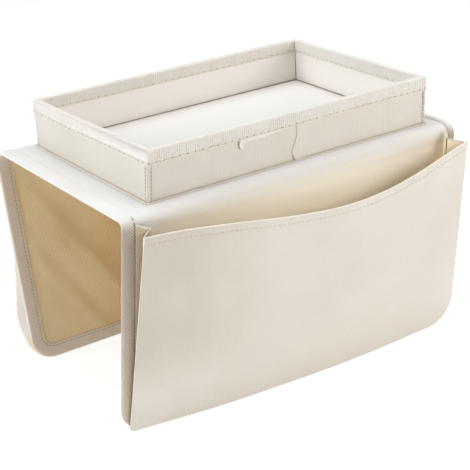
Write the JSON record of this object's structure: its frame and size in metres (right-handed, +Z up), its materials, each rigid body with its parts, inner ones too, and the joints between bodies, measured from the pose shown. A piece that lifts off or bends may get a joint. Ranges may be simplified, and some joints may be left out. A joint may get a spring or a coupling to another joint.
{
  "type": "armrest organizer tray",
  "caption": "Cloth saddle that drapes over a sofa arm, with a shallow stiffened tray sewn on top and a pleated pocket on each hanging flap, bound with folded tape.",
  "frame": {"origin": "middle of the footprint on the surface that the flaps stand on", "axes": "+X along the sofa arm, to the right as seen from the front; +Y to the rear flap; +Z up"},
  "size_m": [0.324, 0.2445, 0.2265],
  "materials": {
    "cloth": "off-white plain-weave Oxford cloth, matte",
    "lining": "tan coated back of the cloth, satin",
    "edge_tape": "taupe twill binding, folded and stitched",
    "rim_tape": "cream grosgrain binding, fine cross ribs",
    "floor_cloth": "white smooth cloth, matte",
    "board": "grey polyethylene stiffener sheet"
  },
  "bodies": {
    "saddle": {"top_outer_cloth": "cloth", "top_board": "board", "top_lining": "lining", "top_edge_tape_left": "edge_tape", "top_edge_tape_right": "edge_tape", "tray_outer_band": "cloth", "tray_board_front": "board", "tray_board_rear": "board", "tray_board_left": "board", "tray_board_right": "board", "tray_wall_lining": "cloth", "tray_rim_tape": "rim_tape", "front_fold_cloth": "cloth", "front_fold_tape_left": "edge_tape", "front_fold_tape_right": "edge_tape", "rear_fold_cloth": "cloth", "rear_fold_tape_left": "edge_tape", "rear_fold_tape_right": "edge_tape"},
    "tray_floor": {"tray_floor_cover": "floor_cloth", "tray_floor_board": "board"},
    "front_flap": {"front_flap_cloth": "cloth", "front_flap_lining": "lining", "front_flap_tape": "edge_tape", "front_gusset_left": "cloth", "front_gusset_right": "cloth"},
    "front_pocket": {"front_pocket_panel": "cloth"},
    "rear_flap": {"rear_flap_cloth": "cloth", "rear_flap_lining": "lining", "rear_flap_tape": "edge_tape", "rear_gusset_left": "cloth", "rear_gusset_right": "cloth"},
    "rear_pocket": {"rear_pocket_panel": "cloth"}
  },
  "joints": [
    {"name": "front_flap_fold", "type": "hinge", "parent": "saddle", "child": "front_flap", "pos_m": [0, -0.089, 0.174], "axis": [-1, 0, 0], "range_deg": [-83, 85], "deforming": ["front_fold_cloth", "front_fold_tape_left", "front_fold_tape_right"]},
    {"name": "rear_flap_fold", "type": "hinge", "parent": "saddle", "child": "rear_flap", "pos_m": [0, 0.089, 0.174], "axis": [1, 0, 0], "range_deg": [-12, 85], "deforming": ["rear_fold_cloth", "rear_fold_tape_left", "rear_fold_tape_right"]},
    {"name": "front_pocket_open", "type": "hinge", "parent": "front_flap", "child": "front_pocket", "pos_m": [-0.002, -0.0865, 0.001], "axis": [0.9986, -0.0523, 0], "range_deg": [-2.5, 5], "deforming": ["front_gusset_left", "front_gusset_right"]},
    {"name": "rear_pocket_open", "type": "hinge", "parent": "rear_flap", "child": "rear_pocket", "pos_m": [0.002, 0.0796, 0.001], "axis": [-0.9999, -0.0105, 0], "range_deg": [-2.5, 5], "deforming": ["rear_gusset_left", "rear_gusset_right"]},
    {"name": "tray_floor_lift", "type": "slide", "parent": "saddle", "child": "tray_floor", "axis": [0, 0, 1], "range_m": [0, 0.06]}
  ]
}
